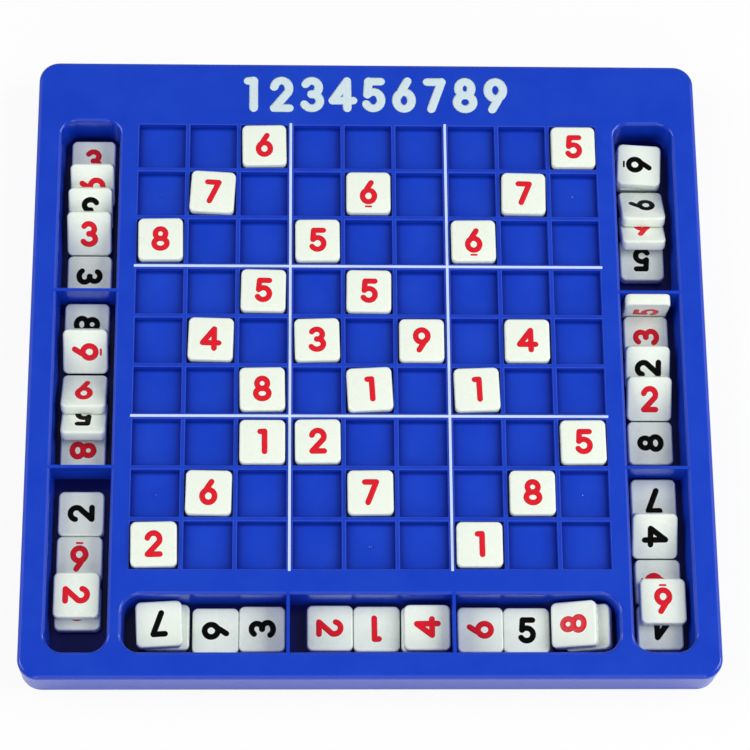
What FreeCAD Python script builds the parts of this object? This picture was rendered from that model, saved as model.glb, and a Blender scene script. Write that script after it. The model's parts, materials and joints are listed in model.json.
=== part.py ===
import FreeCAD
import Part
import math
import os

# Sudoku board: a one-piece moulded plastic tray with a grid of shallow pockets, three deep storage
# troughs round it, and square number tiles, some set out in the grid and the rest loose in the troughs.
# Millimetres. The origin is the middle of the underside. X runs to the right, Y to the back, where the
# title strip is, and Z up.

# Number tile
tile_side = 15.6
tile_thickness = 4.3
tile_corner_radius = 1.8
tile_corner_flats = 3

# Pocket grid. A tile stands on a low pad with sloped borders in the pocket's floor.
cells_per_side = 9
cells_per_box = 3
pocket_room = 0.9
pocket_depth = 2.6
pad_height = 0.35
pad_slope_width = 1.6
rib_width = 1.6
box_rib_width = 2.2

# Printed lines between the boxes of the grid
line_width = 0.9
line_thickness = 0.12
line_overrun = 0.75

# Storage troughs
side_trough_room = 5.1
front_trough_room = 4.0
trough_depth = 14.0
trough_draft = 0.5
trough_back_corner_radius = 5.0
trough_front_corner_radius = 6.0
trough_mouth_radius = 1.2
trough_back_reach = 1.15
divider_thickness = 1.1
compartments_per_trough = 3

# Deck round the grid and the troughs
grid_to_side_trough = 6.75
grid_to_front_trough = 8.7
side_to_front_trough = 4.7
side_margin = 8.7
front_margin = 9.1
title_strip = 23.0

# Moulding
board_height = 16.5
skirt_draft = 0.3
outer_corner_radius = 7.0
top_edge_radius = 1.5
skirt_wall = 2.0
deck_thickness = 2.0
trough_wall = 1.8
trough_floor = 2.0
pocket_floor = 1.6
plate_border = 2.4
stiffener_thickness = 1.5
stiffener_lift = 1.0

# Fits
seat_gap = 0.02
tile_gap = 0.15
wall_gap = 0.2
cut_overrun = 1.0

# Sizes that follow from those above
pocket_side = tile_side + pocket_room
boxes_per_side = cells_per_side // cells_per_box
box_ribs = boxes_per_side - 1
thin_ribs = cells_per_side - 1 - box_ribs
grid_side = cells_per_side * pocket_side + thin_ribs * rib_width + box_ribs * box_rib_width

side_trough_width = tile_side + side_trough_room
front_trough_width = tile_side + front_trough_room
side_trough_inner_x = grid_side / 2 + grid_to_side_trough
side_trough_x = side_trough_inner_x + side_trough_width / 2
top_length = 2 * (side_trough_inner_x + side_trough_width + side_margin)
top_depth = (
    title_strip + trough_back_reach + grid_side + grid_to_front_trough + front_trough_width + front_margin
)

side_trough_back_y = top_depth / 2 - title_strip
trough_front_y = front_margin - top_depth / 2
side_trough_length = side_trough_back_y - trough_front_y
side_trough_y = (side_trough_back_y + trough_front_y) / 2
front_trough_length = 2 * (side_trough_inner_x - side_to_front_trough)
front_trough_y = trough_front_y + front_trough_width / 2
grid_back_y = side_trough_back_y - trough_back_reach
grid_front_y = grid_back_y - grid_side
grid_y = (grid_back_y + grid_front_y) / 2

trough_floor_z = board_height - trough_depth
pad_top_z = board_height - pocket_depth
pocket_floor_z = pad_top_z - pad_height
deck_underside_z = board_height - deck_thickness

up = FreeCAD.Vector(0, 0, 1)


def rounded_outline(length, depth, back_radius, front_radius, centre_y, z):
    """A closed rectangle with rounded corners, centred on X = 0, at height z."""
    x = length / 2
    back = centre_y + depth / 2
    front = centre_y - depth / 2
    corners = [
        (x - back_radius, back - back_radius, back_radius, 0),
        (back_radius - x, back - back_radius, back_radius, 90),
        (front_radius - x, front + front_radius, front_radius, 180),
        (x - front_radius, front + front_radius, front_radius, 270),
    ]
    edges = []
    arcs = []
    for corner_x, corner_y, radius, start in corners:
        centre = FreeCAD.Vector(corner_x, corner_y, z)
        arcs.append(Part.makeCircle(radius, centre, up, start, start + 90))
    for arc, following in zip(arcs, arcs[1:] + arcs[:1]):
        edges.append(arc)
        edges.append(Part.makeLine(arc.Vertexes[-1].Point, following.Vertexes[0].Point))
    return Part.Wire(edges)


def drafted_block(length, depth, back_radius, front_radius, centre_y, low_z, high_z, draft, draft_height):
    """A block with rounded corners whose walls lean outwards by draft over draft_height, from low_z up."""
    grown = draft * (high_z - low_z) / draft_height
    low = rounded_outline(length, depth, back_radius, front_radius, centre_y, low_z)
    high = rounded_outline(
        length + 2 * grown, depth + 2 * grown, back_radius + grown, front_radius + grown, centre_y, high_z
    )
    return Part.makeLoft([low, high], True, True)


def trough_space(length, depth, back_radius, front_radius, centre, below, top_z, grown):
    """The space of one trough from its floor up, or the block of its walls when it is grown."""
    block = drafted_block(
        length - 2 * trough_draft + 2 * grown,
        depth - 2 * trough_draft + 2 * grown,
        back_radius - trough_draft + grown,
        front_radius - trough_draft + grown,
        centre[1],
        trough_floor_z - below,
        top_z,
        trough_draft,
        trough_depth,
    )
    block.translate(FreeCAD.Vector(centre[0], 0, 0))
    return block


troughs = [
    (
        side_trough_width,
        side_trough_length,
        trough_back_corner_radius,
        trough_front_corner_radius,
        (side * side_trough_x, side_trough_y),
    )
    for side in (-1, 1)
]
troughs.append(
    (
        front_trough_length,
        front_trough_width,
        trough_front_corner_radius,
        trough_front_corner_radius,
        (0, front_trough_y),
    )
)


def pocket_edge(index):
    """How far the near edge of a pocket lies from the edge of the grid."""
    crossed_box_ribs = index // cells_per_box
    thin = (index - crossed_box_ribs) * rib_width
    return index * pocket_side + thin + crossed_box_ribs * box_rib_width


def pocket_centre(row, column):
    """The middle of a pocket. Rows count from the back and columns from the left."""
    x = pocket_edge(column) + pocket_side / 2 - grid_side / 2
    y = grid_back_y - pocket_edge(row) - pocket_side / 2
    return FreeCAD.Vector(x, y, 0)


def box_rib_places():
    """The distances of the middles of the box ribs from the edge of the grid."""
    return [
        pocket_edge(box * cells_per_box) - box_rib_width / 2 for box in range(1, boxes_per_side)
    ]


def make_pocket_cutter():
    """The space of one pocket, with the sloped pad left standing in its floor."""
    half = pocket_side / 2
    crown = half - pad_slope_width
    space = Part.makeBox(
        pocket_side,
        pocket_side,
        board_height + cut_overrun - pocket_floor_z,
        FreeCAD.Vector(-half, -half, pocket_floor_z),
    )
    pad = Part.makeWedge(-half, 0, -half, -crown, -crown, half, pad_height, half, crown, crown)
    pad.rotate(FreeCAD.Vector(0, 0, 0), FreeCAD.Vector(1, 0, 0), 90)
    pad.translate(FreeCAD.Vector(0, 0, pocket_floor_z))
    return space.cut(pad)


def make_stiffeners():
    """Webs under the box ribs, from one side of the skirt to the other."""
    webs = []
    height = deck_underside_z + deck_thickness / 2 - stiffener_lift
    half = stiffener_thickness / 2
    for place in box_rib_places():
        across = Part.makeBox(
            top_length - skirt_wall,
            stiffener_thickness,
            height,
            FreeCAD.Vector(skirt_wall / 2 - top_length / 2, grid_back_y - place - half, stiffener_lift),
        )
        along = Part.makeBox(
            stiffener_thickness,
            top_depth - skirt_wall,
            height,
            FreeCAD.Vector(place - grid_side / 2 - half, skirt_wall / 2 - top_depth / 2, stiffener_lift),
        )
        webs.append(across)
        webs.append(along)
    return webs


def make_dividers():
    """Thin walls that part each trough into compartments, flush with the deck."""
    walls = []
    height = board_height - trough_floor_z + trough_floor / 2
    foot_z = trough_floor_z - trough_floor / 2
    half = divider_thickness / 2
    overlap = trough_wall / 2
    for index in range(1, compartments_per_trough):
        share = index / compartments_per_trough
        y = side_trough_back_y - share * side_trough_length - half
        for side in (-1, 1):
            x = side * side_trough_x - side_trough_width / 2 - overlap
            corner = FreeCAD.Vector(x, y, foot_z)
            walls.append(Part.makeBox(side_trough_width + 2 * overlap, divider_thickness, height, corner))
        x = share * front_trough_length - front_trough_length / 2 - half
        corner = FreeCAD.Vector(x, trough_front_y - overlap, foot_z)
        walls.append(Part.makeBox(divider_thickness, front_trough_width + 2 * overlap, height, corner))
    return walls


def make_tray():
    """The whole moulding: skirt, deck, trough walls, pocket plate and stiffening webs."""
    outer = drafted_block(
        top_length + 2 * skirt_draft,
        top_depth + 2 * skirt_draft,
        outer_corner_radius + skirt_draft,
        outer_corner_radius + skirt_draft,
        0,
        0,
        board_height,
        -skirt_draft,
        board_height,
    )
    hollow = drafted_block(
        top_length - 2 * skirt_wall,
        top_depth - 2 * skirt_wall,
        outer_corner_radius - skirt_wall,
        outer_corner_radius - skirt_wall,
        0,
        -cut_overrun,
        deck_underside_z,
        -skirt_draft,
        board_height,
    )
    plate_side = grid_side + 2 * plate_border
    plate_z = pocket_floor_z - pocket_floor
    plate = Part.makeBox(
        plate_side,
        plate_side,
        deck_underside_z + deck_thickness / 2 - plate_z,
        FreeCAD.Vector(-plate_side / 2, grid_y - plate_side / 2, plate_z),
    )
    walls = [
        trough_space(*trough, trough_floor, deck_underside_z + deck_thickness / 2, trough_wall)
        for trough in troughs
    ]
    shell = outer.cut(hollow).fuse([plate] + walls + make_stiffeners())
    spaces = [trough_space(*trough, 0, board_height + cut_overrun, 0) for trough in troughs]
    shell = shell.cut(Part.makeCompound(spaces)).removeSplitter()
    shell = round_top_edges(shell)
    cutter = make_pocket_cutter()
    pockets = []
    for row in range(cells_per_side):
        for column in range(cells_per_side):
            pocket = cutter.copy()
            pocket.translate(pocket_centre(row, column))
            pockets.append(pocket)
    shell = shell.cut(Part.makeCompound(pockets))
    return shell.fuse(make_dividers()).removeSplitter()


def round_top_edges(shell):
    """Rounds the rim of the deck and the mouths of the troughs."""
    rim = []
    mouths = []
    reach_x = top_length / 2 - side_margin / 2
    reach_y = top_depth / 2 - front_margin / 2
    for edge in shell.Edges:
        box = edge.BoundBox
        if abs(box.ZMin - board_height) > seat_gap or abs(box.ZMax - board_height) > seat_gap:
            continue
        if max(abs(box.XMin), abs(box.XMax)) > reach_x or max(abs(box.YMin), abs(box.YMax)) > reach_y:
            rim.append(edge)
        else:
            mouths.append(edge)
    shell = shell.makeFillet(trough_mouth_radius, mouths)
    rim = [edge for edge in shell.Edges if any(edge.isPartner(old) for old in rim)] or rim
    return shell.makeFillet(top_edge_radius, rim)


def make_box_lines():
    """The white lines printed on the box ribs, one crossing figure."""
    lines = []
    length = grid_side + 2 * line_overrun
    half = line_width / 2
    for place in box_rib_places():
        across = FreeCAD.Vector(-length / 2, grid_back_y - place - half, board_height)
        along = FreeCAD.Vector(place - grid_side / 2 - half, grid_y - length / 2, board_height)
        lines.append(Part.makeBox(length, line_width, line_thickness, across))
        lines.append(Part.makeBox(line_width, length, line_thickness, along))
    return lines[0].fuse(lines[1:]).removeSplitter()


def make_tile():
    """One tile, lying along X from zero with its middle on the X axis. Each corner is rounded by a few
    flats, which keeps the many tiles light."""
    reach = tile_side / 2 - tile_corner_radius
    points = []
    for quarter in range(4):
        corner = FreeCAD.Vector(reach, reach, 0)
        for step in range(tile_corner_flats + 1):
            angle = math.radians(90 * step / tile_corner_flats)
            point = corner + FreeCAD.Vector(math.cos(angle), math.sin(angle), 0) * tile_corner_radius
            points.append(FreeCAD.Rotation(up, 90 * quarter).multVec(point))
    face = Part.Face(Part.makePolygon(points + points[:1]))
    face.translate(FreeCAD.Vector(tile_side / 2, 0, 0))
    return face.extrude(up * tile_thickness)


tile = make_tile()

# Tiles set out in the grid: row, column, how far each is off the middle of its pocket to the right and
# to the back as shares of the free play, and its turn in degrees.
grid_tile_shares = [
    (0, 2, 0.0, -0.5, 1.0),
    (0, 8, 0.2, -0.4, 0.0),
    (1, 1, 0.0, 0.0, -3.4),
    (1, 4, 0.0, 0.0, 0.0),
    (1, 7, 0.0, 0.0, -1.0),
    (2, 0, 0.5, 0.5, 1.0),
    (2, 3, 0.4, 0.0, 0.5),
    (2, 6, 0.0, 0.0, 0.5),
    (3, 2, 0.0, -0.4, -1.0),
    (3, 4, -0.2, -0.7, -0.5),
    (4, 1, 0.3, 0.0, -1.5),
    (4, 3, 0.0, -0.5, 1.5),
    (4, 5, 0.0, -0.6, 0.0),
    (4, 7, -0.4, -0.4, 0.0),
    (5, 2, -0.4, 0.0, 1.0),
    (5, 4, 0.0, 0.0, 3.0),
    (5, 6, 0.6, 0.0, 2.0),
    (6, 2, 0.0, -0.5, 0.0),
    (6, 3, 0.6, 0.0, 0.5),
    (6, 8, 0.0, -0.2, 0.5),
    (7, 1, 0.2, -0.3, -1.0),
    (7, 4, 0.0, 0.0, 0.5),
    (7, 7, 0.4, 0.0, 0.0),
    (8, 0, 0.0, 0.0, 1.0),
    (8, 6, -0.2, 0.0, 0.0),
]


def grid_tile(row, column, right_share, back_share, turn):
    """One tile in its pocket, turned by a little and pushed off the middle within its play."""
    angle = math.radians(abs(turn))
    straight = tile_side - 2 * tile_corner_radius
    turned_side = straight * (math.cos(angle) + math.sin(angle)) + 2 * tile_corner_radius
    play = max((pocket_side - turned_side) / 2 - seat_gap, 0)
    piece = tile.copy()
    piece.translate(FreeCAD.Vector(-tile_side / 2, 0, 0))
    piece.rotate(FreeCAD.Vector(0, 0, 0), up, turn)
    place = pocket_centre(row, column)
    place.z = pad_top_z + seat_gap
    piece.translate(place + FreeCAD.Vector(right_share * play, back_share * play, 0))
    return piece


class Compartment:
    """One part of a trough. Places run along it from its start wall, and across from its middle."""

    def __init__(self, trough_name, index):
        if trough_name == "front":
            whole = front_trough_length
            width = front_trough_width
            start = FreeCAD.Vector(-whole / 2, front_trough_y, trough_floor_z)
            along = FreeCAD.Vector(1, 0, 0)
            self.turn = 0
        else:
            whole = side_trough_length
            width = side_trough_width
            side = -1 if trough_name == "left" else 1
            start = FreeCAD.Vector(side * side_trough_x, side_trough_back_y, trough_floor_z)
            along = FreeCAD.Vector(0, -1, 0)
            self.turn = -90
        low_wall = trough_draft if index == 0 else divider_thickness / 2
        high_wall = trough_draft if index == compartments_per_trough - 1 else divider_thickness / 2
        low = index * whole / compartments_per_trough + low_wall + wall_gap
        high = (index + 1) * whole / compartments_per_trough - high_wall - wall_gap
        self.length = high - low
        self.start = start + along * low + up * seat_gap
        self.half_play = (width - 2 * trough_draft - tile_side) / 2

    def put(self, place, lean=0.0, across_share=0.0, level=0, turn=0.0):
        """A tile with its low edge at place, at its level in a pile. A lean above zero raises its start
        side, one below zero its end side. A flat tile lies from place on, turned by a little."""
        piece = tile.copy()
        origin = FreeCAD.Vector(0, 0, 0)
        sideways = FreeCAD.Vector(0, 1, 0)
        piece.rotate(FreeCAD.Vector(tile_side / 2, 0, 0), up, turn)
        if lean > 0:
            piece.translate(FreeCAD.Vector(-tile_side, 0, 0))
        piece.rotate(origin, sideways, lean)
        lift = level * (tile_thickness + seat_gap)
        across = across_share * (self.half_play - wall_gap)
        piece.translate(FreeCAD.Vector(place, across, lift))
        piece.rotate(origin, up, self.turn)
        piece.translate(self.start)
        return piece

    def stand(self, place, across_share):
        """A tile that stands on edge across the compartment, from place on."""
        return self.put(place, 90, across_share)


def stack_run(lean, count):
    """The floor that leaning tiles take up beside the flat tile that the first one rests on."""
    angle = math.radians(lean)
    spacing = (tile_thickness + tile_gap) / math.sin(angle)
    return spacing * (math.cos(angle) + count - 1) + tile_thickness * math.sin(angle)


def settled_lean(run, run_at, low, high):
    """The angle in degrees, from low to high, at which tiles fill a run of floor. A steeper one is shorter."""
    for _ in range(settling_steps):
        middle = (low + high) / 2
        if run_at(middle) > run:
            low = middle
        else:
            high = middle
    return high


def leaning_places(rest_edge, lean, count):
    """Where tiles touch the floor that lean on a flat tile, whose edge is at rest_edge. A lean above zero
    means that they lie after it, and one below zero before it."""
    angle = math.radians(abs(lean))
    spacing = math.copysign((tile_thickness + tile_gap) / math.sin(angle), lean)
    return [rest_edge + spacing * (math.cos(angle) + index) for index in range(count)]


def pair(first, second):
    """Two tiles that one node holds."""
    return Part.makeCompound([first, second])


settling_steps = 40
flattest_lean = 5.0
steepest_lean = 85.0

# Where flat tiles lie, as shares of the length of their compartment
left_back_start_share = 0.045
left_middle_start_share = 0.013
left_front_start_share = 0.086
right_back_start_share = 0.075
right_back_end_share = 0.118
right_middle_start_share = 0.005
right_middle_end_share = 0.05
right_front_start_share = 0.01
right_front_end_share = 0.032

# Room between flat tiles in a row, as shares of what the row leaves free: before each tile
front_left_room_shares = [0.82, 0.14, 0.02]
front_middle_room_shares = [0.76, 0.03, 0.07]
front_right_room_shares = [0.11, 0.01]

# How far the upper tile of a pile is shifted along from the lower one, as shares of a tile's side
left_front_shift_share = 0.87
right_back_shift_share = 0.01
right_front_shift_share = 0.49
front_left_shift_share = -0.14
front_middle_shift_share = 0.05

# Small gaps between neighbours on the floor, as shares of a tile's side
snug_share = 0.012
pile_foot_share = 0.05
loose_share = 0.09

# How far each tile lies off the middle of its compartment, as shares of the play on one side
across_shares = {
    "left_back": [0.2, 0.3, 0.05, -0.05, 0.1],
    "left_middle": [-0.1, -0.1, -0.1, 0.05, -0.1],
    "left_front": [-0.08, -0.17, -0.2, -0.3],
    "right_back": [-0.5, -0.55, -0.25, -0.4, -0.45],
    "right_middle": [-0.4, -0.3, -0.45, -0.4, -0.37],
    "right_front": [-0.25, -0.5, -0.1, -0.05, 0.35],
    "front_left": [0.65, 0.7, -0.4, 0.1],
    "front_middle": [0.35, 0.1, 0.0, -0.2],
    "front_right": [-0.15, -0.3, 0.5, 0.1],
}

# Turns of the upper tiles of two piles, in degrees
right_back_turn = -3.5
front_left_turn = 3.0

# How steeply the last two tiles of the front trough lean, in degrees
front_right_lean = 20.0


def fill_left_back():
    """A flat tile, three that lean on it, and a flat tile that holds their feet."""
    space = Compartment("left", 0)
    across = across_shares["left_back"]
    first = space.length * left_back_start_share
    last = space.length - tile_side
    rest_edge = first + tile_side
    lean = settled_lean(
        last - tile_gap - rest_edge, lambda angle: stack_run(angle, 3), flattest_lean, steepest_lean
    )
    places = leaning_places(rest_edge, lean, 3)
    return {
        "left_back_tile_1": space.put(first, 0, across[0]),
        "left_back_tile_2": space.put(places[0], lean, across[1]),
        "left_back_tile_3": space.put(places[1], lean, across[2]),
        "left_back_tile_4": space.put(places[2], lean, across[3]),
        "left_back_tile_5": space.put(last, 0, across[4]),
    }


def fill_left_middle():
    """A flat tile at each end. One tile leans on the first, and two lean the other way on the last."""
    space = Compartment("left", 1)
    across = across_shares["left_middle"]
    first = space.length * left_middle_start_share
    last = space.length - tile_side
    rest_edge = first + tile_side
    lean = settled_lean(
        last - rest_edge - tile_gap,
        lambda angle: stack_run(angle, 1) + stack_run(angle, 2),
        flattest_lean,
        steepest_lean,
    )
    on_first = leaning_places(rest_edge, lean, 1)
    on_last = leaning_places(last, -lean, 2)
    return {
        "left_middle_tile_1": space.put(first, 0, across[0]),
        "left_middle_tile_2": space.put(on_first[0], lean, across[1]),
        "left_middle_tile_3": space.put(on_last[1], -lean, across[2]),
        "left_middle_tile_4": space.put(on_last[0], -lean, across[3]),
        "left_middle_tile_5": space.put(last, 0, across[4]),
    }


def fill_left_front():
    """Three flat tiles, and one that lies across the last two."""
    space = Compartment("left", 2)
    across = across_shares["left_front"]
    first = space.length * left_front_start_share
    second = first + tile_side * (1 + snug_share)
    third = second + tile_side * (1 + loose_share)
    upper = second + tile_side * left_front_shift_share
    return {
        "left_front_tile_1": space.put(first, 0, across[0]),
        "left_front_tiles_2_3": pair(space.put(second, 0, across[1]), space.put(third, 0, across[2])),
        "left_front_tile_4": space.put(upper, 0, across[3], 1),
    }


def fill_right_back():
    """Two tiles in a pile, a flat tile further on, and two that lean on it towards the pile."""
    space = Compartment("right", 0)
    across = across_shares["right_back"]
    first = space.length * right_back_start_share
    last = space.length * (1 - right_back_end_share) - tile_side
    upper = first + tile_side * right_back_shift_share
    pile_edge = first + tile_side * (1 + pile_foot_share)
    lean = settled_lean(
        last - pile_edge, lambda angle: stack_run(angle, 2), flattest_lean, steepest_lean
    )
    places = leaning_places(last, -lean, 2)
    return {
        "right_back_tiles_1_2": pair(
            space.put(first, 0, across[0]), space.put(upper, 0, across[1], 1, right_back_turn)
        ),
        "right_back_tile_3": space.put(places[1], -lean, across[2]),
        "right_back_tile_4": space.put(places[0], -lean, across[3]),
        "right_back_tile_5": space.put(last, 0, across[4]),
    }


def fill_right_middle():
    """A tile that stands on edge, a flat one, two that lean on that, and a flat one at their feet."""
    space = Compartment("right", 1)
    across = across_shares["right_middle"]
    first = space.length * right_middle_start_share
    second = first + tile_thickness + tile_gap
    rest_edge = second + tile_side
    last = space.length * (1 - right_middle_end_share) - tile_side
    lean = settled_lean(
        last - tile_gap - rest_edge, lambda angle: stack_run(angle, 2), flattest_lean, steepest_lean
    )
    places = leaning_places(rest_edge, lean, 2)
    return {
        "right_middle_tile_1": space.stand(first, across[0]),
        "right_middle_tile_2": space.put(second, 0, across[1]),
        "right_middle_tile_3": space.put(places[0], lean, across[2]),
        "right_middle_tile_4": space.put(places[1], lean, across[3]),
        "right_middle_tile_5": space.put(last, 0, across[4]),
    }


def fill_right_front():
    """A flat tile with one leaning on it, then two flat ones with another across them."""
    space = Compartment("right", 2)
    across = across_shares["right_front"]
    first = space.length * right_front_start_share
    fourth = space.length * (1 - right_front_end_share) - tile_side
    third = fourth - tile_side * (1 + snug_share)
    upper = third + tile_side * right_front_shift_share
    rest_edge = first + tile_side
    lean = settled_lean(
        third - tile_gap - rest_edge, lambda angle: stack_run(angle, 1), flattest_lean, steepest_lean
    )
    places = leaning_places(rest_edge, lean, 1)
    return {
        "right_front_tile_1": space.put(first, 0, across[0]),
        "right_front_tile_2": space.put(places[0], lean, across[1]),
        "right_front_tiles_3_4": pair(space.put(third, 0, across[2]), space.put(fourth, 0, across[3])),
        "right_front_tile_5": space.put(upper, 0, across[4], 1),
    }


def row_places(room, room_shares):
    """Where flat tiles in a row lie. Before each one comes its share of the room that the row leaves."""
    places = []
    place = 0
    for share in room_shares:
        place += room * share
        places.append(place)
        place += tile_side
    return places


def fill_front_left():
    """Three flat tiles, with a fourth on top of the first."""
    space = Compartment("front", 0)
    across = across_shares["front_left"]
    places = row_places(space.length - 3 * tile_side, front_left_room_shares)
    upper = places[0] + tile_side * front_left_shift_share
    return {
        "front_left_tiles_1_2": pair(
            space.put(places[0], 0, across[0]), space.put(upper, 0, across[1], 1, front_left_turn)
        ),
        "front_left_tiles_3_4": pair(
            space.put(places[1], 0, across[2]), space.put(places[2], 0, across[3])
        ),
    }


def fill_front_middle():
    """Three flat tiles, with a fourth on top of the last."""
    space = Compartment("front", 1)
    across = across_shares["front_middle"]
    places = row_places(space.length - 3 * tile_side, front_middle_room_shares)
    upper = places[2] + tile_side * front_middle_shift_share
    return {
        "front_middle_tiles_1_2": pair(
            space.put(places[0], 0, across[0]), space.put(places[1], 0, across[1])
        ),
        "front_middle_tiles_3_4": pair(
            space.put(places[2], 0, across[2]), space.put(upper, 0, across[3], 1)
        ),
    }


def fill_front_right():
    """Two flat tiles, one whose raised edge leans on the round end wall, and one that lies against it."""
    space = Compartment("front", 2)
    across = across_shares["front_right"]
    corner = trough_front_corner_radius - trough_draft - tile_corner_radius
    wall_room = min(space.half_play - abs(across[3]) * (space.half_play - wall_gap), corner)
    corner_room = corner - math.sqrt(corner**2 - (corner - wall_room) ** 2)
    places = row_places(space.length - 3 * tile_side, front_right_room_shares)
    angle = math.radians(front_right_lean)
    under = space.length - corner_room - tile_side * math.cos(angle)
    over = places[1] + tile_side + tile_gap + tile_thickness * math.sin(angle)
    rise = (tile_thickness + tile_gap) / math.cos(angle) - (under - over) * math.tan(angle)
    level = max(rise, 0) / (tile_thickness + seat_gap)
    return {
        "front_right_tiles_1_2": pair(
            space.put(places[0], 0, across[0]), space.put(places[1], 0, across[1])
        ),
        "front_right_tile_3": space.put(over, -front_right_lean, across[2], level),
        "front_right_tile_4": space.put(under, -front_right_lean, across[3]),
    }


def build_all():
    """Every node of the board by name."""
    nodes = {"tray": make_tray(), "box_lines": make_box_lines()}
    for row, column, right_share, back_share, turn in grid_tile_shares:
        nodes[f"grid_tile_r{row + 1}_c{column + 1}"] = grid_tile(row, column, right_share, back_share, turn)
    fillings = [
        fill_left_back,
        fill_left_middle,
        fill_left_front,
        fill_right_back,
        fill_right_middle,
        fill_right_front,
        fill_front_left,
        fill_front_middle,
        fill_front_right,
    ]
    for fill in fillings:
        nodes.update(fill())
    return nodes


os.makedirs("parts", exist_ok=True)
for name, shape in build_all().items():
    shape.exportStep(f"parts/{name}.step")
    print(name, len(shape.Solids), shape.isValid(), round(shape.Volume, 1))
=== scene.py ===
# %% [markdown]
# # A sudoku board in blue plastic
#
# The object is a shallow tray, moulded in one piece, with nine rows of nine square pockets and three
# deep troughs round them. Sixty-six white number tiles lie in it. The solids of the tray and of the
# tiles come in as a fixed frame, in metres. Here they get their soft edges, their printed numbers and
# their plastics, and then a floor, lamps and a camera like those of the photograph.

import json
import math

import bmesh
import bpy
from mathutils import Matrix, Vector

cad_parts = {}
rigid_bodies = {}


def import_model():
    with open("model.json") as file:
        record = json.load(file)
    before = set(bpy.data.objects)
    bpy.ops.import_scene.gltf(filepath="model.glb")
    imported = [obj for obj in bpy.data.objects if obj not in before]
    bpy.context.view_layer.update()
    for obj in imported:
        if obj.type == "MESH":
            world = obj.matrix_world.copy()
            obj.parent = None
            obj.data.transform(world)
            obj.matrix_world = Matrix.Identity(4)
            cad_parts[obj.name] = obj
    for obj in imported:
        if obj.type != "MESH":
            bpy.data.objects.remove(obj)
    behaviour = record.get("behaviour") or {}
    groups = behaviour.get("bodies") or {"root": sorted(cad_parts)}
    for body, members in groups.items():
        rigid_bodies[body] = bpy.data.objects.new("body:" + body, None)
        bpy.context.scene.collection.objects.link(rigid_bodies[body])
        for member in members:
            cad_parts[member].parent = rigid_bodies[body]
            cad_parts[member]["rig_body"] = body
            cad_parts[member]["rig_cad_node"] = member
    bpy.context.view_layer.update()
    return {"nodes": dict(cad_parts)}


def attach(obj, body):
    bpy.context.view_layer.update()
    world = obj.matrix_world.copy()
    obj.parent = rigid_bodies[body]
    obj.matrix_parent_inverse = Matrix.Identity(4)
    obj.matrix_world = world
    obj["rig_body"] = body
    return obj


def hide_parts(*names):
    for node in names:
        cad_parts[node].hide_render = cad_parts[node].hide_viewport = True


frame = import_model()
mm = 0.001

# %% [markdown]
# ## How pieces are handled
#
# An operator acts on everything that is selected, and the loaded solids come in selected. So each
# step starts with nothing selected and one active piece. In edit mode, edges and faces are picked by
# their place or by the way they face, as a modeller would click on them.

# %% Small helpers for working on one piece
def take(piece):
    """Makes one piece the only selected and active one."""
    bpy.ops.object.select_all(action="DESELECT")
    piece.select_set(True)
    bpy.context.view_layer.objects.active = piece


def pick(piece, edges=None, faces=None):
    """In edit mode, selects the edges or the faces for which the test is true."""
    bpy.ops.mesh.select_all(action="DESELECT")
    bpy.ops.mesh.select_mode(type="EDGE" if edges else "FACE")
    mesh = bmesh.from_edit_mesh(piece.data)
    mesh.normal_update()
    for part in mesh.edges if edges else mesh.faces:
        part.select_set(bool((edges or faces)(part)))
    mesh.select_flush_mode()
    bmesh.update_edit_mesh(piece.data)


def join(pieces, name):
    """Joins the pieces into the first one."""
    bpy.ops.object.select_all(action="DESELECT")
    for piece in pieces:
        piece.select_set(True)
    bpy.context.view_layer.objects.active = pieces[0]
    if len(pieces) > 1:
        bpy.ops.object.join()
    pieces[0].name = name
    return pieces[0]


def copy_of(piece, name, place):
    """A copy with its own mesh, moved to its place in the mesh itself."""
    made = piece.copy()
    made.data = piece.data.copy()
    made.data.transform(place)
    made.name = name
    bpy.context.scene.collection.objects.link(made)
    return made


print("helpers: take, pick, join, copy_of")

# %% [markdown]
# ## Where each tile lies
#
# Some tiles lie flat in a pocket, and the others lean, overlap or stand in the troughs. Their places
# could be typed in, but then they would drift from the solids as soon as those change. So a tile's
# place is read from its solid: the middle of its corners, its thin direction, and the side that looks
# most to the right. Two tiles that lie together share one node, so a node may give two places.

# %% The separate blocks of a solid
def merged_mesh(node):
    """The mesh of a solid with its loose triangles joined."""
    mesh = bmesh.new()
    mesh.from_mesh(frame["nodes"][node].data)
    bmesh.ops.remove_doubles(mesh, verts=mesh.verts, dist=0.01 * mm)
    return mesh


def separate_blocks(mesh):
    """The corners of each block in a mesh that no edge joins to the others."""
    unseen = set(mesh.verts)
    blocks = []
    while unseen:
        block = set()
        reached = [unseen.pop()]
        while reached:
            corner = reached.pop()
            block.add(corner)
            near = {edge.other_vert(corner) for edge in corner.link_edges} & unseen
            unseen -= near
            reached += near
        blocks.append(block)
    return blocks


pair = merged_mesh("front_left_tiles_1_2")
print("blocks in a node with two tiles:", len(separate_blocks(pair)))
pair.free()

# %% Read the places of the tiles
# A tile stands on its edge where its face looks up or down by less than this.
upright_limit = 0.2


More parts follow.
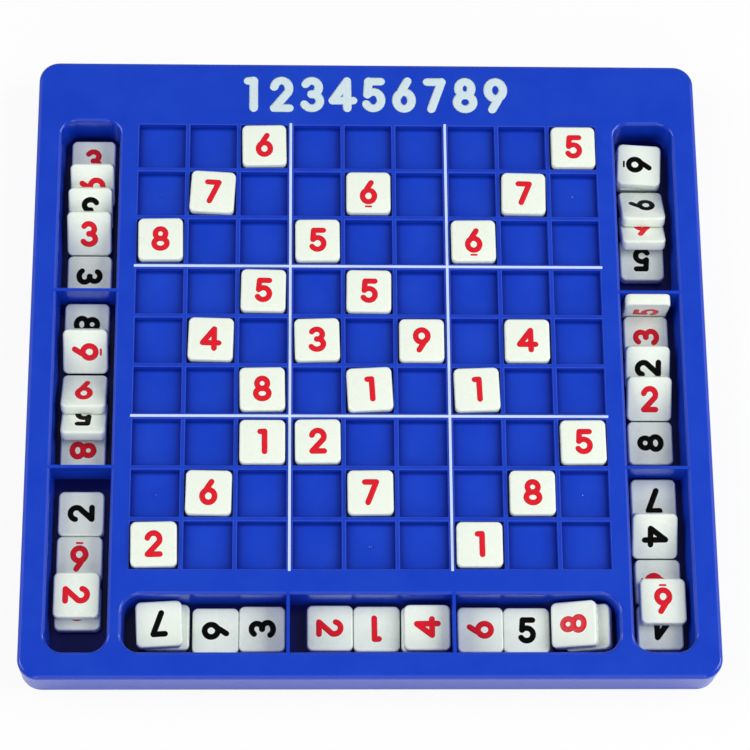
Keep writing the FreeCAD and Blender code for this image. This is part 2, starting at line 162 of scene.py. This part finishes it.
def place_of(corners):
    """The place of one tile as a matrix: its right side, back side, face and middle."""
    middle = sum((corner.co for corner in corners), Vector()) / len(corners)
    sides = {}
    for face in {face for corner in corners for face in corner.link_faces}:
        way = tuple(round(value, 3) for value in face.normal)
        sides[way] = sides.get(way, 0) + face.calc_area()
    by_area = [Vector(way) for way in sorted(sides, key=lambda way: -sides[way])]
    face_way = by_area[0]
    upright = abs(face_way.z) <= upright_limit
    if (upright and face_way.y > 0) or (not upright and face_way.z < 0):
        face_way = -face_way
    face_way.normalize()
    four_walls = by_area[2:6]
    right_way = max(four_walls, key=lambda way: way.x)
    right_way = (right_way - right_way.dot(face_way) * face_way).normalized()
    back_way = face_way.cross(right_way)
    place = Matrix((right_way, back_way, face_way)).transposed().to_4x4()
    place.translation = middle
    return place


def tile_places(node):
    """The place of each tile in a node, from the lowest to the highest."""
    mesh = merged_mesh(node)
    found = [place_of(block) for block in separate_blocks(mesh)]
    mesh.free()
    return sorted(found, key=lambda place: place.translation.z)


tile_nodes = sorted(name for name in frame["nodes"] if "tile" in name)
places = {name: tile_places(name) for name in tile_nodes}
print("tiles:", sum(len(found) for found in places.values()), "in", len(tile_nodes), "nodes")

# %% [markdown]
# ## A blank tile
#
# A real tile is a small moulded block of white plastic with rounded corners and softly broken rims.
# It could be a cube with a bevel modifier, but the corners are much rounder than the rims. So the
# upright edges are bevelled first, widely, and then the two rims with a small bevel. The block is a
# hair thinner than its solid, and the printed ink fills that up.

# %% Model the blank tile
tile_side = 15.56 * mm
tile_thickness = 4.18 * mm
corner_radius = 1.9 * mm
rim_radius = 0.7 * mm
# An edge is sharp where its two faces turn by more than this, in radians.
sharp = 1.2


def rise(edge):
    """How much higher one end of an edge lies than the other."""
    return abs(edge.verts[0].co.z - edge.verts[1].co.z)


bpy.ops.object.select_all(action="DESELECT")
bpy.ops.mesh.primitive_cube_add(size=1, location=(0, 0, 0))
blank = bpy.context.object
blank.name = "blank_tile"
bpy.ops.transform.resize(value=(tile_side, tile_side, tile_thickness))
bpy.ops.object.transform_apply(location=True, rotation=True, scale=True)
bpy.ops.object.mode_set(mode="EDIT")
pick(blank, edges=lambda e: rise(e) > 1 * mm)
bpy.ops.mesh.bevel(offset=corner_radius, segments=6, affect="EDGES")
pick(blank, edges=lambda e: e.calc_face_angle(0) > sharp and rise(e) < 0.1 * mm)
bpy.ops.mesh.bevel(offset=rim_radius, segments=4, affect="EDGES")
bpy.ops.object.mode_set(mode="OBJECT")
bpy.ops.object.shade_smooth_by_angle(angle=math.radians(35))
print("blank tile:", len(blank.data.polygons), "faces")

# %% [markdown]
# ## The numbers
#
# The numbers are printed in thick ink with round stroke ends. Each one is drawn here as it would be
# with a pen: a few strokes along straight lines and arcs, in a box of about -1 to 1 both ways. A
# boolean of flat outlines would do as well, but strokes keep clean edges at any size.

# %% The pen strokes of each digit
def arc(x, y, width, height, start, end, steps=14):
    """Points on an oval, from one angle to another in degrees."""
    turn = [math.radians(start + (end - start) * step / steps) for step in range(steps + 1)]
    return [(x + width * math.cos(angle), y + height * math.sin(angle)) for angle in turn]


six_bowl = {"x": 0, "y": -0.39, "width": 0.94, "height": 0.61}
six = [
    [(0.42, 1.0), (-0.1, 0.5), (-0.62, 0.0)] + arc(**six_bowl, start=142, end=158, steps=1),
    arc(**six_bowl, start=0, end=360, steps=24),
]
strokes_of = {
    "1": [[(-0.33, 0.95), (0.34, 0.97)], [(0.34, 0.97), (0.36, -1.0)]],
    "2": [
        arc(0, 0.42, 0.92, 0.58, 168, -28),
        [(0.81, 0.15), (-0.88, -1.0)],
        [(-0.88, -1.0), (0.95, -1.0)],
    ],
    "3": [arc(-0.05, 0.5, 0.86, 0.5, 150, -90), arc(-0.05, -0.48, 1.0, 0.52, 90, -152)],
    "4": [[(1.25, -0.43), (-1.22, -0.43)], [(-1.22, -0.43), (0.5, 0.97)], [(0.5, 0.97), (0.55, -0.97)]],
    "5": [
        [(0.9, 0.97), (-0.6, 0.97)],
        [(-0.6, 0.97), (-0.72, 0.02)],
        [(-0.72, 0.02)] + arc(-0.02, -0.38, 0.98, 0.6, 122, -150),
    ],
    "6": six,
    "7": [[(-0.86, 0.96), (0.88, 0.96)], [(0.88, 0.96), (-0.4, -1.0)]],
    "8": [arc(0, 0.5, 0.8, 0.5, 0, 360, 22), arc(0, -0.49, 1.0, 0.51, 0, 360, 24)],
    "9": [[(-x, -y) for x, y in stroke] for stroke in six],
}
print("digits drawn:", " ".join(strokes_of))

# %% [markdown]
# A stroke of ink is slightly raised and its rim is round. A curve object with a round bevel gives
# that: a tube along the stroke, whose ends close in a dome. The tube is then pressed almost flat,
# which leaves a thin raised layer.

# %% Press a stroke of ink
dome_angles = (30, 60, 85)


def ink_stroke(points, pen, closed, squeeze):
    """A round tube along the points, with domed ends, as a mesh, a little lower than it is wide."""
    radii = [1.0] * len(points)
    path = [Vector((x, y, 0)) for x, y in points]
    if closed:
        path.pop()
        radii.pop()
    else:
        start, end = path[0], path[-1]
        before = (path[0] - path[1]).normalized() * pen
        after = (path[-1] - path[-2]).normalized() * pen
        for angle in dome_angles:
            reach = math.sin(math.radians(angle))
            narrow = math.cos(math.radians(angle))
            radii = [narrow] + radii + [narrow]
            path = [start + before * reach] + path + [end + after * reach]
    curve = bpy.data.curves.new("stroke", "CURVE")
    curve.dimensions = "3D"
    curve.twist_mode = "Z_UP"
    curve.bevel_depth = pen
    curve.bevel_resolution = 2
    curve.use_fill_caps = True
    line = curve.splines.new("POLY")
    line.points.add(len(path) - 1)
    line.use_cyclic_u = closed
    for point, spot, radius in zip(line.points, path, radii):
        point.co = (*spot, 1)
        point.radius = radius
    piece = bpy.data.objects.new("stroke", curve)
    bpy.context.scene.collection.objects.link(piece)
    take(piece)
    bpy.ops.object.convert(target="MESH")
    piece = bpy.context.object
    bpy.ops.object.mode_set(mode="EDIT")
    bpy.ops.mesh.select_all(action="SELECT")
    bpy.ops.mesh.remove_doubles(threshold=0.001 * mm)
    bpy.ops.mesh.normals_make_consistent(inside=False)
    bpy.ops.transform.resize(value=(1, 1, squeeze))
    bpy.ops.object.mode_set(mode="OBJECT")
    return piece


print("a stroke's end closes in", len(dome_angles), "rings")

# %% [markdown]
# Where two strokes cross, their flat tops would fall together and flicker in the render. So each
# stroke lies a little lower than the next one.

# %% Make the digits of the tiles
lower_by = 0.08


def ink_figure(name, strokes, half_width, half_height, pen, height):
    """A digit of pen strokes, pressed flat to the height of the ink."""
    made = []
    for order, stroke in enumerate(reversed(strokes)):
        points = [(x * half_width, y * half_height) for x, y in stroke]
        closed = (Vector(points[0]) - Vector(points[-1])).length < 0.01 * mm
        made.append(ink_stroke(points, pen, closed, 1 - lower_by * order))
    piece = join(made, name)
    take(piece)
    bpy.ops.object.mode_set(mode="EDIT")
    bpy.ops.mesh.select_all(action="SELECT")
    bpy.ops.transform.resize(value=(1, 1, height / pen))
    bpy.ops.object.mode_set(mode="OBJECT")
    bpy.ops.object.shade_smooth()
    return piece


ink_height = 0.05 * mm
digit_half_width = 2.25 * mm
digit_half_height = 3.65 * mm
digit_pen = 1.0 * mm
bar_half_width = 0.95 * mm
bar_pen = 0.36 * mm
digits = {
    digit: ink_figure("digit_" + digit, strokes, digit_half_width, digit_half_height, digit_pen, ink_height)
    for digit, strokes in strokes_of.items()
}
under_bar = ink_figure("under_bar", [[(-1, 0), (1, 0)]], bar_half_width, 1, bar_pen, ink_height)
print("ink faces of an 8:", len(digits["8"].data.polygons))

# %% [markdown]
# ## Which number is on which tile
#
# Every tile bears the same number on both faces, red on one and black on the other. A six has a
# short bar under it on some tiles. The tables say what faces up, as the photograph shows it: the
# digit, its colour, and how far it is turned, in degrees against the clock.

# %% Numbers that face up
grid_rows = {
    "r1_c3": "6", "r1_c9": "5", "r2_c2": "7", "r2_c5": "6-", "r2_c8": "7", "r3_c1": "8", "r3_c4": "5",
    "r3_c7": "6-", "r4_c3": "5", "r4_c5": "5", "r5_c2": "4", "r5_c4": "3", "r5_c6": "9", "r5_c8": "4",
    "r6_c3": "8", "r6_c5": "1", "r6_c7": "1", "r7_c3": "1", "r7_c4": "2", "r7_c9": "5", "r8_c2": "6",
    "r8_c5": "7", "r8_c8": "8", "r9_c1": "2", "r9_c7": "1",
}
facing = {"grid_tile_" + spot: [(digit, "red", 0)] for spot, digit in grid_rows.items()}
facing.update({
    "left_back_tile_1": [("3", "red", 0)],
    "left_back_tile_2": [("6", "red", 90)],
    "left_back_tile_3": [("3", "black", 180)],
    "left_back_tile_4": [("3", "red", 0)],
    "left_back_tile_5": [("3", "black", -90)],
    "left_middle_tile_1": [("8", "black", -90)],
    "left_middle_tile_2": [("6-", "red", 90)],
    "left_middle_tile_3": [("6", "red", 0)],
    "left_middle_tile_4": [("5", "black", 180)],
    "left_middle_tile_5": [("8", "red", -90)],
    "left_front_tile_1": [("2", "black", 90)],
    "left_front_tiles_2_3": [("6-", "red", 180), ("3", "red", 0)],
    "left_front_tile_4": [("2", "red", -90)],
    "right_back_tiles_1_2": [("1", "black", 0), ("6-", "black", -90)],
    "right_back_tile_3": [("6", "black", 90)],
    "right_back_tile_4": [("9", "red", 0)],
    "right_back_tile_5": [("5", "black", 180)],
    "right_middle_tile_1": [("5", "red", 90)],
    "right_middle_tile_2": [("3", "red", 90)],
    "right_middle_tile_3": [("2", "black", 90)],
    "right_middle_tile_4": [("2", "red", 0)],
    "right_middle_tile_5": [("8", "black", 90)],
    "right_front_tile_1": [("7", "black", 180)],
    "right_front_tile_2": [("4", "black", -90)],
    "right_front_tiles_3_4": [("6-", "red", -90), ("4", "black", 180)],
    "right_front_tile_5": [("6-", "red", 180)],
    "front_left_tiles_1_2": [("9", "red", 0), ("7", "black", 180)],
    "front_left_tiles_3_4": [("6", "black", -90), ("3", "black", 90)],
    "front_middle_tiles_1_2": [("2", "red", -90), ("1", "red", 180)],
    "front_middle_tiles_3_4": [("8", "red", 0), ("4", "red", 90)],
    "front_right_tiles_1_2": [("6", "red", 90), ("5", "black", 0)],
    "front_right_tile_3": [("8", "red", 90)],
    "front_right_tile_4": [("1", "red", 0)],
})
print("nodes without a number:", sorted(set(tile_nodes) - set(facing)))
print("numbers without a node:", sorted(set(facing) - set(tile_nodes)))

# %% [markdown]
# ## Tiles with their numbers
#
# The blank tile and its ink are copied to every place, the ink once on each face. Each copy has its
# own mesh, and its place is in that mesh, so the export finds all objects at the origin. Two tiles in
# one node come in the order of their height here, and the table has them in that order too. Where
# both lie equally high, the one further back or left comes first.

# %% The ink on one face of a tile
bar_gap = 1.75 * mm
to_face = Matrix.Translation((0, 0, tile_thickness / 2))
to_bar = Matrix.Translation((0, -digit_half_height - bar_gap, 0))


def printed(place, number, turn):
    """The ink of a number on the upper face of a tile: the digit, and its bar where it has one."""
    spot = place @ to_face @ Matrix.Rotation(math.radians(turn), 4, "Z")
    made = [copy_of(digits[number[0]], "print", spot)]
    if number.endswith("-"):
        made.append(copy_of(under_bar, "print", spot @ to_bar))
    return made


print("a bar lies", round((digit_half_height + bar_gap) / mm, 2), "mm below the middle of its digit")

# %% Copy the tile and its ink to every place
turned_over = Matrix.Rotation(math.pi, 4, "X")
other_colour = {"red": "black", "black": "red"}
half_tile = 8 * mm


def from_back_left(place):
    """Sorts places from back to front in steps of about half a tile, and then from left to right."""
    return (-round(place.translation.y / half_tile), place.translation.x)


tile_pieces = []
ink_pieces = {"red": [], "black": []}
for name in tile_nodes:
    found = places[name]
    if len(found) == 2 and abs(found[0].translation.z - found[1].translation.z) < 1 * mm:
        found.sort(key=from_back_left)
    piece = join([copy_of(blank, name + "_block", place) for place in found], name + "_body")
    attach(piece, name)
    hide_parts(name)
    tile_pieces.append(piece)
    prints = {"red": [], "black": []}
    for place, (number, colour, turn) in zip(found, facing[name]):
        prints[colour] += printed(place, number, turn)
        prints[other_colour[colour]] += printed(place @ turned_over, number, turn)
    for ink, made in prints.items():
        piece = join(made, name + "_" + ink)
        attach(piece, name)
        ink_pieces[ink].append(piece)
for template in [blank, under_bar, *digits.values()]:
    bpy.data.objects.remove(template)
print("tile pieces:", len(tile_pieces))
print("ink pieces:", {ink: len(made) for ink, made in ink_pieces.items()})

# %% [markdown]
# ## The tray
#
# The tray is one injection moulding, and none of its edges is sharp: the ribs between the pockets
# and the thin dividers have slightly rounded tops that catch the light. The solid has the rounded
# rim and mouths, but crisp ribs. A bevel modifier would take in too many edges. So a copy of the
# solid is merged, its flat triangles are dissolved into whole faces, and only the rims of the pockets
# and of the dividers get small bevels. The dividers end in the fine fillets of the trough walls, so
# theirs is clamped where it would run into those.

# %% Merge the tray
tray = copy_of(frame["nodes"]["tray"], "tray_moulding", Matrix.Identity(4))
tray.parent = None
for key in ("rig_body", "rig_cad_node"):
    del tray[key]
take(tray)
bpy.ops.mesh.customdata_custom_splitnormals_clear()
bpy.ops.object.mode_set(mode="EDIT")
bpy.ops.mesh.select_all(action="SELECT")
bpy.ops.mesh.remove_doubles(threshold=0.04 * mm)
bpy.ops.mesh.dissolve_limited(angle_limit=math.radians(0.8))
bpy.ops.object.mode_set(mode="OBJECT")
print("tray faces, merged:", len(tray.data.polygons))

# %% Soften the rims of the pockets and of the dividers
deck_z = 16.5 * mm
pocket_side = 16.5 * mm
least_divider = 20 * mm
pocket_rim_radius = 0.35 * mm
divider_rim_radius = 0.1 * mm


def is_crisp(edge):
    """True for the sharp edges at the height of the deck."""
    return edge.calc_face_angle(0) > sharp and min(end.co.z for end in edge.verts) > deck_z - 0.05 * mm


bpy.ops.object.mode_set(mode="EDIT")
pick(tray, edges=lambda e: is_crisp(e) and abs(e.calc_length() - pocket_side) < 0.5 * mm)
bpy.ops.mesh.bevel(
    offset=pocket_rim_radius, segments=3, affect="EDGES", clamp_overlap=False, loop_slide=False
)
pick(tray, edges=lambda e: is_crisp(e) and e.calc_length() > least_divider)
bpy.ops.mesh.bevel(offset=divider_rim_radius, segments=2, affect="EDGES", clamp_overlap=True)
bpy.ops.object.mode_set(mode="OBJECT")
bpy.ops.object.shade_smooth_by_angle(angle=math.radians(40))
bpy.ops.object.modifier_add(type="WEIGHTED_NORMAL")
tray.modifiers[-1].keep_sharp = True
bpy.ops.object.modifier_apply(modifier=tray.modifiers[-1].name)
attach(tray, "board")
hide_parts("tray")
print("tray faces, softened:", len(tray.data.polygons))

# %% [markdown]
# Shade is painted into the blue where little light gets in: on the floors of the troughs and at the foot of
# the pads' slopes. A number on each corner of a face says how much painted shade it gets, and the plastic
# reads it later. The walls get none, so only faces that look up get a number above zero. Hands and tiles
# dull the straight rims of the troughs, while their round corners stay glossy. A second number marks
# those rims. Painting both by hand would do too, but the heights in the mesh say it exactly.

# %% Mark the painted shade and the worn rims of the tray
trough_floor_z = 2.5 * mm
pocket_foot_z = 13.55 * mm
rim_low_z = 15.75 * mm
straight_limit = 0.02
# Painted shade: full on the trough floors, half at the foot of the pads' slopes.
painted_shade_at = {trough_floor_z: 1.0, pocket_foot_z: 0.5}


def is_worn(face):
    """True for the rounded faces along the straight rims."""
    straight = min(abs(face.normal.x), abs(face.normal.y)) < straight_limit
    return straight and 0.05 < face.normal.z < 0.99 and face.center.z > rim_low_z


# This attribute holds the painted shade of each corner.
grime = tray.data.attributes.new("grime", "FLOAT", "CORNER")
wear = tray.data.attributes.new("wear", "FLOAT", "CORNER")
for face in tray.data.polygons:
    looks_up = face.normal.z >= 0.5
    for index in face.loop_indices:
        wear.data[index].value = 1.0 if is_worn(face) else 0.0
        height = tray.data.vertices[tray.data.loops[index].vertex_index].co.z
        for level, share in painted_shade_at.items():
            if looks_up and abs(height - level) < 0.1 * mm:
                grime.data[index].value = share
for mark in (grime, wear):
    print("corners with", mark.name + ":", sum(1 for spot in mark.data if spot.value > 0))

# %% [markdown]
# ## Marks of the mould
#
# Five pockets show the small round scar where the plastic ran into the mould. Each is a low disc,
# half sunk in the pad, with a dent in its middle. It could be a bump in the material, but a real disc
# keeps its shadow from every side, so a cylinder gets two insets: a raised lip and then the dent.

# %% Where the pockets are
thin_rib = 1.6 * mm
box_rib = 2.2 * mm
grid_half = (9 * pocket_side + 6 * thin_rib + 2 * box_rib) / 2
grid_middle_y = 6.625 * mm
pad_z = 13.9 * mm


def pocket_middle(row, column):
    """The middle of a pocket, counted from the back left corner from zero."""
    across, down = (
        (at + 0.5) * pocket_side + (at - at // 3) * thin_rib + at // 3 * box_rib - grid_half
        for at in (column, row)
    )
    return Vector((across, grid_middle_y - down, pad_z))


print("first pocket at", [round(value / mm, 2) for value in pocket_middle(0, 0)])

# %% Gate marks
gate_radius = 0.85 * mm
gate_depth = 0.3 * mm
lip_width = 0.2 * mm
lip_rise = 0.02 * mm
dent_slope = 0.18 * mm
dent_depth = 0.12 * mm

marks = []
for row, column in ((1, 0), (1, 8), (7, 0), (7, 8), (8, 4)):
    bpy.ops.object.select_all(action="DESELECT")
    bpy.ops.mesh.primitive_cylinder_add(
        vertices=20, radius=gate_radius, depth=gate_depth, location=pocket_middle(row, column)
    )
    mark = bpy.context.object
    bpy.ops.object.transform_apply(location=True, rotation=True, scale=True)
    bpy.ops.object.mode_set(mode="EDIT")
    pick(mark, faces=lambda f: f.normal.z > 0.9)
    bpy.ops.mesh.inset(thickness=lip_width, depth=lip_rise)
    bpy.ops.mesh.inset(thickness=dent_slope, depth=-dent_depth)
    bpy.ops.object.mode_set(mode="OBJECT")
    bpy.ops.object.shade_smooth_by_angle(angle=math.radians(50))
    marks.append(mark)
gate_marks = join(marks, "gate_marks")
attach(gate_marks, "board")
print("gate marks:", len(marks))

# %% [markdown]
# ## The title strip
#
# The strip behind the grid bears a plain row of numbers in an off-white like that of the lines, as
# wide and as high as the print in the photograph. A text object would bring a typeface of its own.
# So the pen strokes of the tiles serve again, with a broader pen, and the row matches them.

# %% A row of numbers on the title strip
title_left = -41.8 * mm
title_right = 45.9 * mm
title_y = 100.0 * mm
title_half_width = 2.9 * mm
title_half_height = 5.4 * mm
title_pen = 1.6 * mm
title_ink_height = 0.04 * mm

row_of_digits = "123456789"
title_step = (title_right - title_left) / (len(row_of_digits) - 1)
title_digits = []
for index, digit in enumerate(row_of_digits):
    figure = ink_figure(
        "title_digit", strokes_of[digit], title_half_width, title_half_height, title_pen, title_ink_height
    )
    figure.data.transform(Matrix.Translation((title_left + title_step * index, title_y, deck_z)))
    title_digits.append(figure)
title_numbers = join(title_digits, "title_numbers")
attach(title_numbers, "board")
print("title from", round(title_left / mm, 1), "to", round(title_right / mm, 1), "mm")

# %% [markdown]
# ## The camera
#
# The photograph was taken from above the front edge with a long lens. A shorter lens from nearer by
# would show more of the troughs' outer walls. The camera's place, turn and lens were fitted to the
# corners of the pockets.

# %% Camera
camera_data = bpy.data.cameras.new("camera")
camera_data.lens = 118.406
camera_data.sensor_width = 36
camera = bpy.data.objects.new("camera", camera_data)
camera.location = (-0.026180, -0.276334, 0.822458)
camera.rotation_euler = [math.radians(angle) for angle in (18.5503, -1.8478, -0.4313)]
bpy.context.scene.collection.objects.link(camera)
bpy.context.scene.camera = camera
print("camera:", round(camera.location.z / mm), "mm above the floor, lens", camera_data.lens, "mm")

# %% [markdown]
# ## Colours
#
# Colours are measured in the photograph as screen values, and a shader wants them as light, so each
# is converted once. The lamps and the skin change them a little, so the values below are a touch
# deeper than what the photograph shows.

# %% Colour from screen values
def shade(red, green, blue):
    """A screen colour from 0 to 255 as light."""
    steps = [value / 255 for value in (red, green, blue)]
    light = [step / 12.92 if step <= 0.04045 else ((step + 0.055) / 1.055) ** 2.4 for step in steps]
    return (*light, 1)


board_blue = shade(8, 54, 191)
tile_white = shade(240, 249, 234)
print("blue as light:", [round(value, 3) for value in board_blue])

# %% [markdown]
# ## Plastics
#
# Moulded plastic is never quite even: it has a faint orange-peel skin from the mould, and small
# changes of gloss where hands and tiles rub it. Each plastic could have noise of its own, but one
# group of shader nodes gives both as a height and a mask, and each plastic places it with its own
# values.

# %% Nodes and their links
# A Mix node has sockets for numbers, vectors and colours, so those of a colour mix go by number.
mix_factor = 0
mix_first = 6
mix_second = 7
mix_colour = 2


def node(tree, kind, **values):
    """Adds one node. A value is given to the input of that name, or else to the node's own setting."""
    made = tree.nodes.new(kind)
    for key, value in values.items():
        if key in made.inputs:
            made.inputs[key].default_value = value
        else:
            setattr(made, key, value)
    return made


def wire(tree, *pairs):
    """Links each (node, output) to each (node, input)."""
    for (source, out), (target, into) in pairs:
        tree.links.new(source.outputs[out], target.inputs[into])


print("a colour mix reads inputs", mix_factor, mix_first, mix_second, "and gives output", mix_colour)

# %% The skin of moulded plastic, as a node group
skin = bpy.data.node_groups.new("moulded_skin", "ShaderNodeTree")
for label in ("Peel Scale", "Rub Scale"):
    skin.interface.new_socket(label, in_out="INPUT", socket_type="NodeSocketFloat")
for label in ("Height", "Rub"):
    skin.interface.new_socket(label, in_out="OUTPUT", socket_type="NodeSocketFloat")
given = node(skin, "NodeGroupInput")
handed = node(skin, "NodeGroupOutput")
where = node(skin, "ShaderNodeTexCoord")
peel = node(skin, "ShaderNodeTexNoise", Detail=3, Roughness=0.55)
rub = node(skin, "ShaderNodeTexNoise", Detail=5, Roughness=0.6)
wire(
    skin,
    ((where, "Object"), (peel, "Vector")),
    ((where, "Object"), (rub, "Vector")),
    ((given, "Peel Scale"), (peel, "Scale")),
    ((given, "Rub Scale"), (rub, "Scale")),
    ((peel, "Fac"), (handed, "Height")),
    ((rub, "Fac"), (handed, "Rub")),
)
print("group sockets:", [item.name for item in skin.interface.items_tree])

# %% A plastic made with that skin
def plastic(name, base, paler, gloss, rubbed, peel_scale, peel_height, rub_scale, shine):
    """A moulded plastic: its colour, the colour where it is rubbed, and its roughness fresh and rubbed."""
    material = bpy.data.materials.new(name)
    material.use_nodes = True
    tree = material.node_tree
    surface = tree.nodes["Principled BSDF"]
    surface.inputs["IOR"].default_value = 1.5
    surface.inputs["Specular IOR Level"].default_value = shine
    group = node(tree, "ShaderNodeGroup", node_tree=skin)
    group.inputs["Peel Scale"].default_value = peel_scale
    group.inputs["Rub Scale"].default_value = rub_scale
    tint = node(tree, "ShaderNodeMix", data_type="RGBA")
    tint.inputs[mix_first].default_value = base
    tint.inputs[mix_second].default_value = paler
    rough = node(tree, "ShaderNodeMapRange")
    for label, value in (("From Min", 0.3), ("From Max", 0.7), ("To Min", gloss), ("To Max", rubbed)):
        rough.inputs[label].default_value = value
    bump = node(tree, "ShaderNodeBump", Strength=0.6, Distance=peel_height)
    wire(
        tree,
        ((group, "Rub"), (tint, mix_factor)),
        ((tint, mix_colour), (surface, "Base Color")),
        ((group, "Rub"), (rough, "Value")),
        ((rough, "Result"), (surface, "Roughness")),
        ((group, "Height"), (bump, "Height")),
        ((bump, "Normal"), (surface, "Normal")),
    )
    return material


blue_plastic = plastic(
    "blue_plastic", board_blue, shade(29, 73, 203), gloss=0.12, rubbed=0.2,
    peel_scale=900, peel_height=0.02 * mm, rub_scale=60, shine=0.5,
)
white_plastic = plastic(
    "white_plastic", tile_white, shade(243, 251, 239), gloss=0.22, rubbed=0.34,
    peel_scale=1200, peel_height=0.02 * mm, rub_scale=150, shine=0.5,
)
print("plastics:", blue_plastic.name, white_plastic.name)

# %% [markdown]
# The inks are printed films. They have no orange peel of their own but a finer grain. So they take
# the same skin with its noise at a higher scale, which makes it finer, and with less height. The ink
# on the tiles is glossy, and the print on the board is matt.

# %% Inks
grain = 0.01 * mm
glossy = {"gloss": 0.15, "rubbed": 0.22, "peel_scale": 2500, "peel_height": grain, "rub_scale": 400}
matt = {"gloss": 0.4, "rubbed": 0.5, "peel_scale": 2000, "peel_height": grain, "rub_scale": 300, "shine": 0.4}
red_ink = plastic("red_ink", shade(224, 26, 42), shade(228, 36, 52), shine=0.2, **glossy)
black_ink = plastic("black_ink", shade(6, 5, 6), shade(13, 12, 12), shine=0.15, **glossy)
title_print = plastic("title_print", shade(214, 232, 236), shade(206, 226, 232), **matt)
white_print = plastic("white_print", shade(210, 226, 251), shade(202, 219, 249), **matt)
print("inks:", red_ink.name, black_ink.name, title_print.name, white_print.name)

# %% [markdown]
# The painted shade that was marked on the tray makes the blue deeper, and the wear makes it duller. Both are
# laid over the finished plastic, between its last colour or roughness and the surface.

# %% Painted shade and wear on the blue plastic
wear_dulls_by = 0.45

tree = blue_plastic.node_tree
surface = tree.nodes["Principled BSDF"]
tint = surface.inputs["Base Color"].links[0].from_node
rough = surface.inputs["Roughness"].links[0].from_node
# Painted shade: the marked corners mix the blue towards a dark blue.
marked = node(tree, "ShaderNodeAttribute", attribute_name="grime")
deeper = node(tree, "ShaderNodeMix", data_type="RGBA")
deeper.inputs[mix_second].default_value = shade(2, 12, 92)
worn = node(tree, "ShaderNodeAttribute", attribute_name="wear")
dull = node(tree, "ShaderNodeMath", operation="MULTIPLY_ADD")
dull.inputs[1].default_value = wear_dulls_by
wire(
    tree,
    ((tint, mix_colour), (deeper, mix_first)),
    ((marked, "Fac"), (deeper, mix_factor)),
    ((deeper, mix_colour), (surface, "Base Color")),
    ((worn, "Fac"), (dull, 0)),
    ((rough, "Result"), (dull, 2)),
    ((dull, 0), (surface, "Roughness")),
)
print("blue plastic nodes:", len(tree.nodes))

# %% [markdown]
# ## Dressing the pieces
#
# Each piece is of one plastic or one ink all over. The white lines between the boxes are a thin raised
# print that the solids already have, so that solid is shown as it is. Its material is set on the
# object and not on the mesh, because a solid's mesh isn't changed.

# %% Dress the pieces
def dress(piece, material):
    """Gives a piece one material all over."""
    piece.data.materials.clear()
    piece.data.materials.append(material)


dress(tray, blue_plastic)
dress(gate_marks, blue_plastic)
dress(title_numbers, title_print)
for piece in tile_pieces:
    dress(piece, white_plastic)
for ink, material in (("red", red_ink), ("black", black_ink)):
    for piece in ink_pieces[ink]:
        dress(piece, material)
for slot in frame["nodes"]["box_lines"].material_slots:
    slot.link = "OBJECT"
    slot.material = white_print
print("materials:", [material.name for material in bpy.data.materials])

# %% [markdown]
# ## The floor and the backdrop
#
# The photograph has a pure white ground with a faint shadow of the board. A white sheet under lamps
# would come out grey or tinted. So the floor glows for the camera alone and keeps a tenth of its lit
# colour, with the shadow. All other rays meet plain paper. The backdrop is white for the camera too
# and dim for the rest, so that the lamps make the light.

# %% Floor
floor_side = 8
paper_grey = 0.9
glow_share = 0.9

bpy.ops.object.select_all(action="DESELECT")
bpy.ops.mesh.primitive_plane_add(size=floor_side, location=(0, 0, 0))
floor = bpy.context.object
floor.name = "floor"
paper = bpy.data.materials.new("white_paper")
paper.use_nodes = True
tree = paper.node_tree
surface = tree.nodes["Principled BSDF"]
surface.inputs["Base Color"].default_value = (paper_grey, paper_grey, paper_grey, 1)
surface.inputs["Roughness"].default_value = 0.9
surface.inputs["Specular IOR Level"].default_value = 0.0
glow = node(tree, "ShaderNodeEmission", Strength=1.0)
path = node(tree, "ShaderNodeLightPath")
share = node(tree, "ShaderNodeMath", operation="MULTIPLY")
share.inputs[1].default_value = glow_share
blend = node(tree, "ShaderNodeMixShader")
wire(
    tree,
    ((path, "Is Camera Ray"), (share, 0)),
    ((share, 0), (blend, 0)),
    ((surface, 0), (blend, 1)),
    ((glow, 0), (blend, 2)),
    ((blend, 0), (tree.nodes["Material Output"], 0)),
)
dress(floor, paper)
print("floor:", floor_side, "m wide")

# %% Backdrop
air_grey = 0.15

world = bpy.data.worlds.new("studio")
bpy.context.scene.world = world
world.use_nodes = True
tree = world.node_tree
air = tree.nodes["Background"]
air.inputs["Color"].default_value = (air_grey, air_grey, air_grey, 1)
backdrop = node(tree, "ShaderNodeBackground", Color=(1, 1, 1, 1))
path = node(tree, "ShaderNodeLightPath")
blend = node(tree, "ShaderNodeMixShader")
wire(
    tree,
    ((path, "Is Camera Ray"), (blend, 0)),
    ((air, 0), (blend, 1)),
    ((backdrop, 0), (blend, 2)),
    ((blend, 0), (tree.nodes["World Output"], 0)),
)
print("backdrop nodes:", len(tree.nodes))

# %% [markdown]
# ## The lamps
#
# The photograph's shadows fall softly to both sides, and the walls of the troughs are lit from left
# and right. Three square soft boxes do that: one on each side, and a larger, weaker one in front that
# lifts the front faces of the tiles. They stand low enough that the deck doesn't mirror them.

# %% Lamps
board_middle = Vector((0, 0, 0))


def soft_box(name, place, size, power):
    """A square soft box that looks at the middle of the board."""
    data = bpy.data.lights.new(name, "AREA")
    data.shape = "SQUARE"
    data.size = size
    data.energy = power
    lamp = bpy.data.objects.new(name, data)
    lamp.location = place
    lamp.rotation_euler = (board_middle - Vector(place)).to_track_quat("-Z", "Y").to_euler()
    bpy.context.scene.collection.objects.link(lamp)


soft_box("left_box", (-1.12, 0.1, 0.97), size=1.0, power=11.5)
soft_box("right_box", (1.12, 0.1, 0.97), size=1.0, power=16.5)
soft_box("front_box", (0, -1.4, 0.7), size=1.2, power=9)

# %% [markdown]
# ## The end
#
# The plain view transform keeps the colours as they were measured.

# %% Finish
bpy.context.scene.view_settings.view_transform = "Standard"
